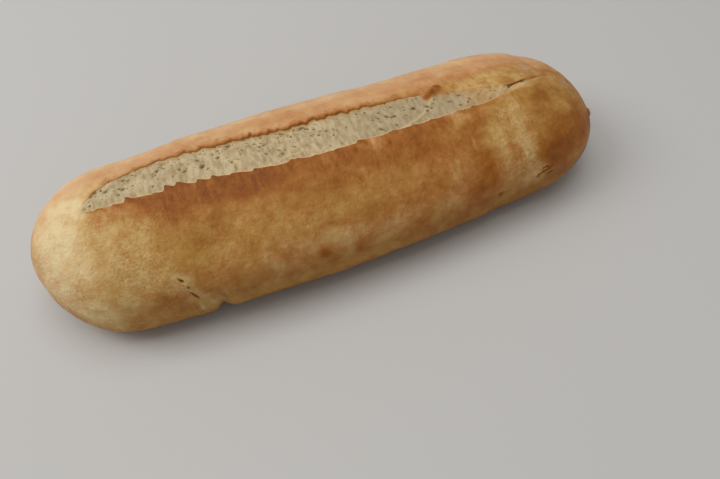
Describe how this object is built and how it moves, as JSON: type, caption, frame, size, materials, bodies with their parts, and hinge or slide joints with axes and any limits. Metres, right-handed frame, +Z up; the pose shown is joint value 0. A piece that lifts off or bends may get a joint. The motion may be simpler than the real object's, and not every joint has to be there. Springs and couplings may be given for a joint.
{
  "type": "bread loaf",
  "caption": "Long oval loaf of crusty white bread with a flat base and one lengthwise score opened along its crest, showing pale crumb.",
  "frame": {"origin": "centre of the bounding box's underside, on the surface the loaf rests on", "axes": "+X along the loaf's length, +Y towards the long side away from the viewer, +Z up through the scored crest"},
  "size_m": [0.394, 0.1384, 0.076],
  "materials": {
    "crust": "baked crust, golden tan mottled with brown, matt with a faint sheen; pale cream porous crumb in the score"
  },
  "bodies": {
    "root": {"loaf": "crust"}
  },
  "joints": []
}
